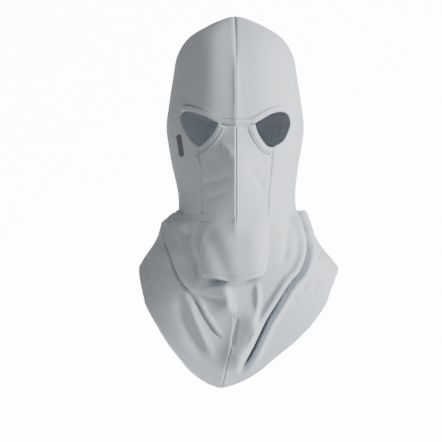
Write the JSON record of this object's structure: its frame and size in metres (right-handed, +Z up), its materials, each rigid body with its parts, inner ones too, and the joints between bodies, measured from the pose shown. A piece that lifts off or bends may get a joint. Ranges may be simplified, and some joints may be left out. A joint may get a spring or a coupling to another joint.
{
  "type": "balaclava",
  "caption": "Two-hole knit balaclava with a seamed crown, bound eye openings, a mask with a hanging chin flap, and a pointed bib over chest and shoulders.",
  "frame": {"origin": "middle of the wearer's head, midway between the ears at the height of the eyes, on the mid-plane", "axes": "+Z up to the crown, -Y out of the face, +X to the wearer's left"},
  "size_m": [0.23, 0.2179, 0.418],
  "materials": {
    "hood_knit": "smooth matt fine-gauge double knit, light grey",
    "trim_knit": "the same knit, folded and pressed as binding",
    "thread": "spun sewing thread, light grey",
    "overlock": "overlocked seam allowance, light grey thread over knit",
    "patch": "plain dark grey printed patch, matt"
  },
  "bodies": {
    "hood": {"side_panel_left": "hood_knit", "side_panel_right": "hood_knit", "mask_panel_left": "hood_knit", "mask_panel_right": "hood_knit", "brow_band": "trim_knit", "brow_topstitch": "thread", "eye_binding_left": "trim_knit", "eye_binding_right": "trim_knit", "eye_topstitch_left": "thread", "eye_topstitch_right": "thread", "eye_facing_left": "trim_knit", "eye_facing_right": "trim_knit", "crown_seam_overlock": "overlock", "mask_seam_overlock": "overlock", "side_seam_overlock_left": "overlock", "side_seam_overlock_right": "overlock", "neck_seam_overlock": "overlock", "neck_front_left": "hood_knit", "neck_front_right": "hood_knit", "bib_side_left": "hood_knit", "bib_side_right": "hood_knit", "bib_hem": "trim_knit", "hem_topstitch": "thread", "bib_front_seam_overlock": "overlock", "bib_back_seam_overlock": "overlock", "bib_side_seam_overlock_left": "overlock", "bib_side_seam_overlock_right": "overlock", "temple_patch": "patch", "bar_tacks": "thread"},
    "chin_flap": {"chin_flap_panel": "hood_knit", "chin_flap_lining": "hood_knit", "chin_flap_topstitch": "thread"}
  },
  "joints": [
    {"name": "chin_flap_lift", "type": "hinge", "parent": "hood", "child": "chin_flap", "pos_m": [0, -0.1055, -0.105], "axis": [-1, 0, 0], "range_deg": [0, 80]}
  ]
}
